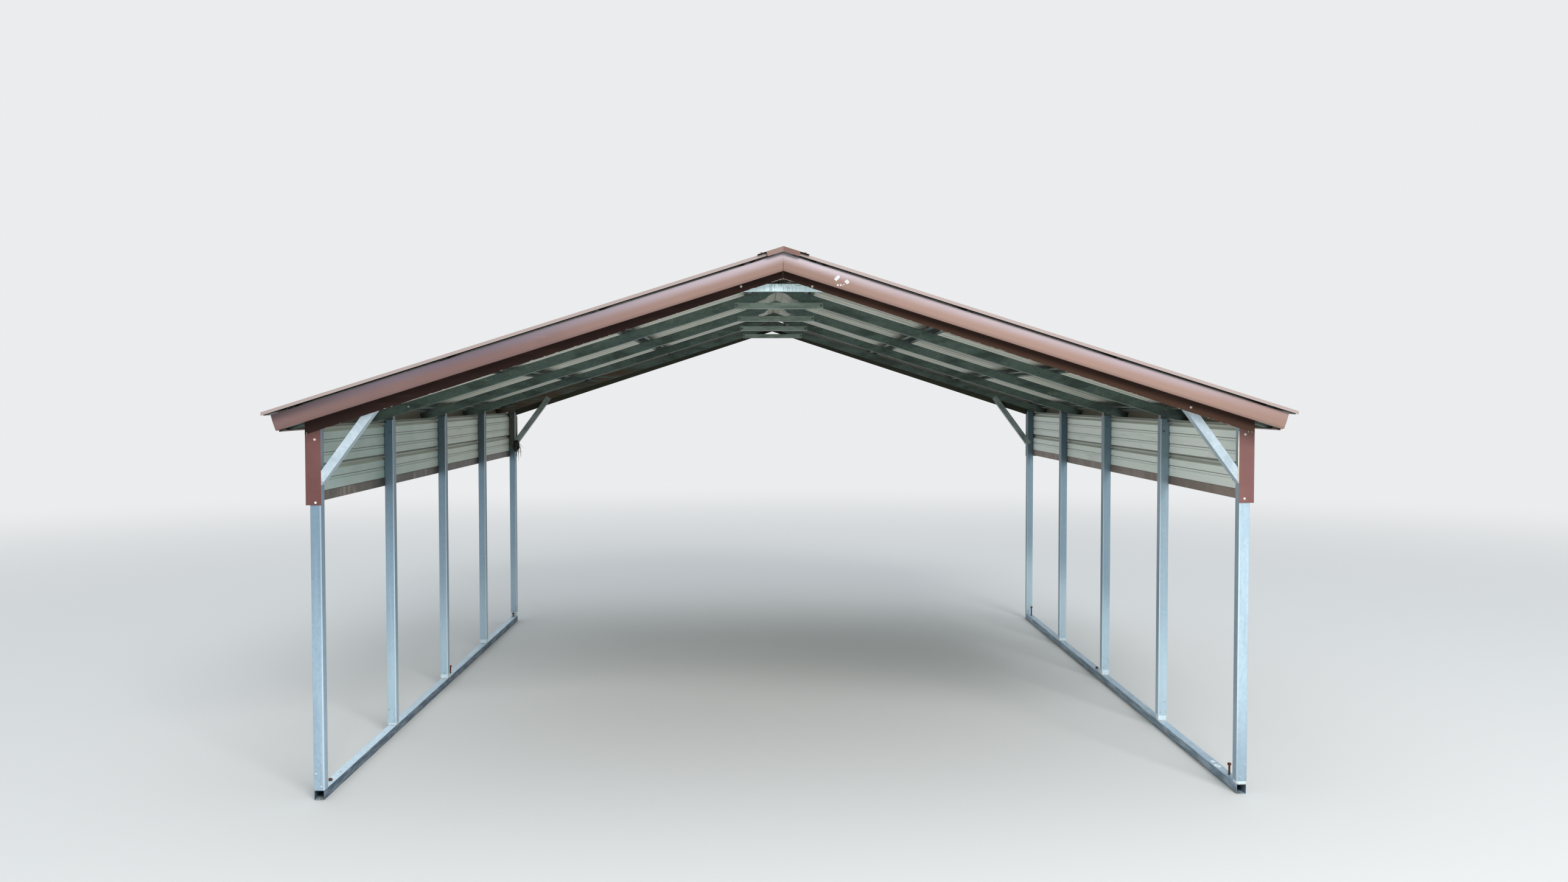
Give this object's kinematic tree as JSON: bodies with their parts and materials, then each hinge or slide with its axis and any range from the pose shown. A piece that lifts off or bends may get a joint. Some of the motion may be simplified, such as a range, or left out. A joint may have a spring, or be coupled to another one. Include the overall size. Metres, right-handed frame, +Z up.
{
  "type": "carport",
  "caption": "Open metal carport: galvanised square-tube legs, base rails and gabled bows with braces, a brown ribbed sheet roof with trims, and a strip of ribbed sheet along each side",
  "frame": {"origin": "On the ground, under the middle of the carport.", "axes": "X across the carport to the right seen from the front, Y from the front to the rear, Z up."},
  "size_m": [5.9214, 6.4628, 3.2051],
  "materials": {
    "tube_zinc": "galvanised, satin",
    "brace_zinc": "bright galvanised",
    "channel_zinc": "galvanised, satin",
    "brown_roof": "painted, low gloss",
    "brown_panel": "painted, low gloss",
    "brown_trim": "painted, low gloss",
    "rusty_steel": "rusted"
  },
  "bodies": {
    "root": {"bow_1": "tube_zinc", "bow_2": "tube_zinc", "bow_3": "tube_zinc", "bow_4": "tube_zinc", "bow_5": "tube_zinc", "bow_sleeves": "tube_zinc", "front_bow_trim": "brown_trim", "front_rake_trim": "brown_trim", "ground_anchors": "rusty_steel", "left_base_rail": "tube_zinc", "left_eave_trim": "brown_trim", "left_front_corner_trim": "brown_trim", "left_front_knee_brace": "brace_zinc", "left_leg_1": "tube_zinc", "left_leg_2": "tube_zinc", "left_leg_3": "tube_zinc", "left_leg_4": "tube_zinc", "left_leg_5": "tube_zinc", "left_panel_hem": "brown_trim", "left_rear_corner_trim": "brown_trim", "left_rear_knee_brace": "brace_zinc", "left_roof_channels": "channel_zinc", "left_roof_sheets": "brown_roof", "left_side_panel": "brown_panel", "peak_brace_1": "brace_zinc", "peak_brace_2": "brace_zinc", "peak_brace_3": "brace_zinc", "peak_brace_4": "brace_zinc", "peak_brace_5": "brace_zinc", "rail_sleeves": "tube_zinc", "rear_bow_trim": "brown_trim", "rear_rake_trim": "brown_trim", "ridge_cap": "brown_trim", "right_base_rail": "tube_zinc", "right_eave_trim": "brown_trim", "right_front_corner_trim": "brown_trim", "right_front_knee_brace": "brace_zinc", "right_leg_1": "tube_zinc", "right_leg_2": "tube_zinc", "right_leg_3": "tube_zinc", "right_leg_4": "tube_zinc", "right_leg_5": "tube_zinc", "right_panel_hem": "brown_trim", "right_rear_corner_trim": "brown_trim", "right_rear_knee_brace": "brace_zinc", "right_roof_channels": "channel_zinc", "right_roof_sheets": "brown_roof", "right_side_panel": "brown_panel"}
  },
  "joints": []
}
